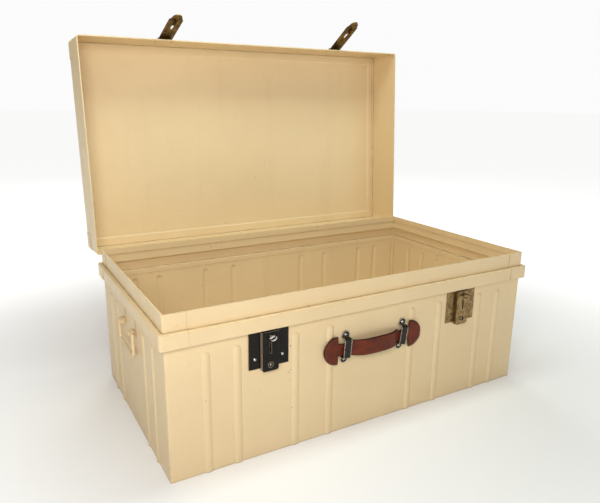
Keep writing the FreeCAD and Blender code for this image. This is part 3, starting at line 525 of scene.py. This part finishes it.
def add_stitch(centre, along, out, length, vertices, faces):
    """A short sunk stitch: an eight-sided spindle lying on the leather."""
    side = along.cross(out).normalized()
    start = len(vertices)
    for share, swell in STITCH_PROFILE:
        for k in range(STITCH_FACETS):
            turn = 2 * math.pi * k / STITCH_FACETS
            offset = side * math.cos(turn) * 1.15 + out * math.sin(turn)
            vertices.append(tuple(centre + along * (share * length) + offset * STITCH_RADIUS * swell))
    last = start + (len(STITCH_PROFILE) - 1) * STITCH_FACETS
    for a in range(start, last, STITCH_FACETS):
        b = a + STITCH_FACETS
        for k in range(STITCH_FACETS):
            m = (k + 1) % STITCH_FACETS
            faces.append((a + k, b + k, b + m, a + m))
    faces.append(tuple(start + k for k in range(STITCH_FACETS)))
    faces.append(tuple(last + k for k in reversed(range(STITCH_FACETS))))


def handle_stitches(material):
    """All the handle's stitches as one piece."""
    vertices, faces = [], []
    rng = random.Random(STITCH_SEED)
    for line in seam_paths():
        places = spaced(line, STITCH_PITCH)
        for (x0, z0), (x1, z1) in zip(places, places[1:]):
            x, z = (x0 + x1) / 2, (z0 + z1) / 2
            step = Vector((x1 - x0, front_y(x1, z1) - front_y(x0, z0), z1 - z0)).normalized()
            out = Vector((0, -1, 0))
            out = (out - step * out.dot(step)).normalized()
            centre = Vector((PAD_X + x, front_y(x, z) + STITCH_SINK, PAD_Z + z))
            length = STITCH_LENGTH * rng.uniform(0.92, 1.08)
            add_stitch(centre, step, out, length, vertices, faces)
    piece = make_mesh("handle_stitches", vertices, faces, material)
    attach(piece, "front_handle")


# ---------------------------------------------------------------- surroundings
def floor_paint():
    """Plain pale floor with a little light of its own, as a lit studio table has."""
    g = Graph("floor")
    tone = g.ramp(g.noise(1.5, 3.0, 0.5), 0.3, 0.7)
    base = g.tint(tone, (0.845, 0.845, 0.842), (0.86, 0.86, 0.858))
    away = g.add("ShaderNodeVectorMath", operation="LENGTH")
    g.feed(away.inputs[0], g.coords)
    glow = g.ramp(away.outputs["Value"], FLOOR_GLOW_FROM, FLOOR_GLOW_TO, FLOOR_GLOW_NEAR, FLOOR_GLOW_FAR)
    g.feed(g.shader.inputs["Emission Strength"], glow)
    return g.finish(base, 0.9, Specular_IOR_Level=0.2, Emission_Color=(1, 1, 1, 1))


def floor():
    corners = [(x * FLOOR_HALF, y * FLOOR_HALF, 0) for x, y in ((-1, -1), (1, -1), (1, 1), (-1, 1))]
    piece = make_mesh("floor", corners, [(0, 1, 2, 3)], floor_paint())


def area_light(name, place, aim, size, watts, tint):
    data = bpy.data.lights.new(name, "AREA")
    data.shape = "RECTANGLE"
    data.size, data.size_y = size
    data.energy = watts
    data.color = tint
    lamp = bpy.data.objects.new(name, data)
    lamp.location = place
    lamp.rotation_euler = (Vector(aim) - Vector(place)).to_track_quat("-Z", "Y").to_euler()
    bpy.context.scene.collection.objects.link(lamp)


def lights():
    for row in LIGHTS:
        area_light(*row)
    studio()


def studio():
    """Soft even light all round, in front of a white wall."""
    world = bpy.data.worlds.new("studio")
    world.use_nodes = True
    tree = world.node_tree
    glow = tree.nodes["Background"]
    glow.inputs["Color"].default_value = ROOM_TINT
    glow.inputs["Strength"].default_value = ROOM_GLOW
    wall = tree.nodes.new("ShaderNodeBackground")
    wall.inputs["Color"].default_value = (1.0, 1.0, 1.0, 1.0)
    wall.inputs["Strength"].default_value = WALL_WHITE
    rays = tree.nodes.new("ShaderNodeLightPath")
    blend = tree.nodes.new("ShaderNodeMixShader")
    tree.links.new(rays.outputs["Is Camera Ray"], blend.inputs["Fac"])
    tree.links.new(glow.outputs["Background"], blend.inputs[1])
    tree.links.new(wall.outputs["Background"], blend.inputs[2])
    tree.links.new(blend.outputs["Shader"], tree.nodes["World Output"].inputs["Surface"])
    bpy.context.scene.world = world


def camera():
    """A camera that looks at the trunk as the photograph does."""
    data = bpy.data.cameras.new("camera")
    data.sensor_width = SENSOR_MM
    data.lens = LENS_MM
    data.clip_start = 0.01
    data.clip_end = 100.0
    view = bpy.data.objects.new("camera", data)
    heading = Matrix.Rotation(math.radians(-CAMERA_HEADING), 4, "Z")
    pitch = Matrix.Rotation(math.radians(90 + CAMERA_PITCH), 4, "X")
    roll = Matrix.Rotation(math.radians(CAMERA_ROLL), 4, "Z")
    view.matrix_world = Matrix.Translation(CAMERA_AT) @ heading @ pitch @ roll
    bpy.context.scene.collection.objects.link(view)
    bpy.context.scene.camera = view


def main():
    materials = {
        "cream_paint": cream_paint(),
        "black_lacquer": black_lacquer(),
        **{row[0]: tarnished_metal(*row) for row in TARNISHED},
        "black_steel": black_steel(),
        "lock_rivet": lock_rivet(),
        "leather": leather(),
    }
    paint_all(materials)
    leather_handle(materials["leather"])
    handle_stitches(thread())
    floor()
    lights()
    camera()
    scene = bpy.context.scene
    scene.view_settings.view_transform = "Standard"


main()
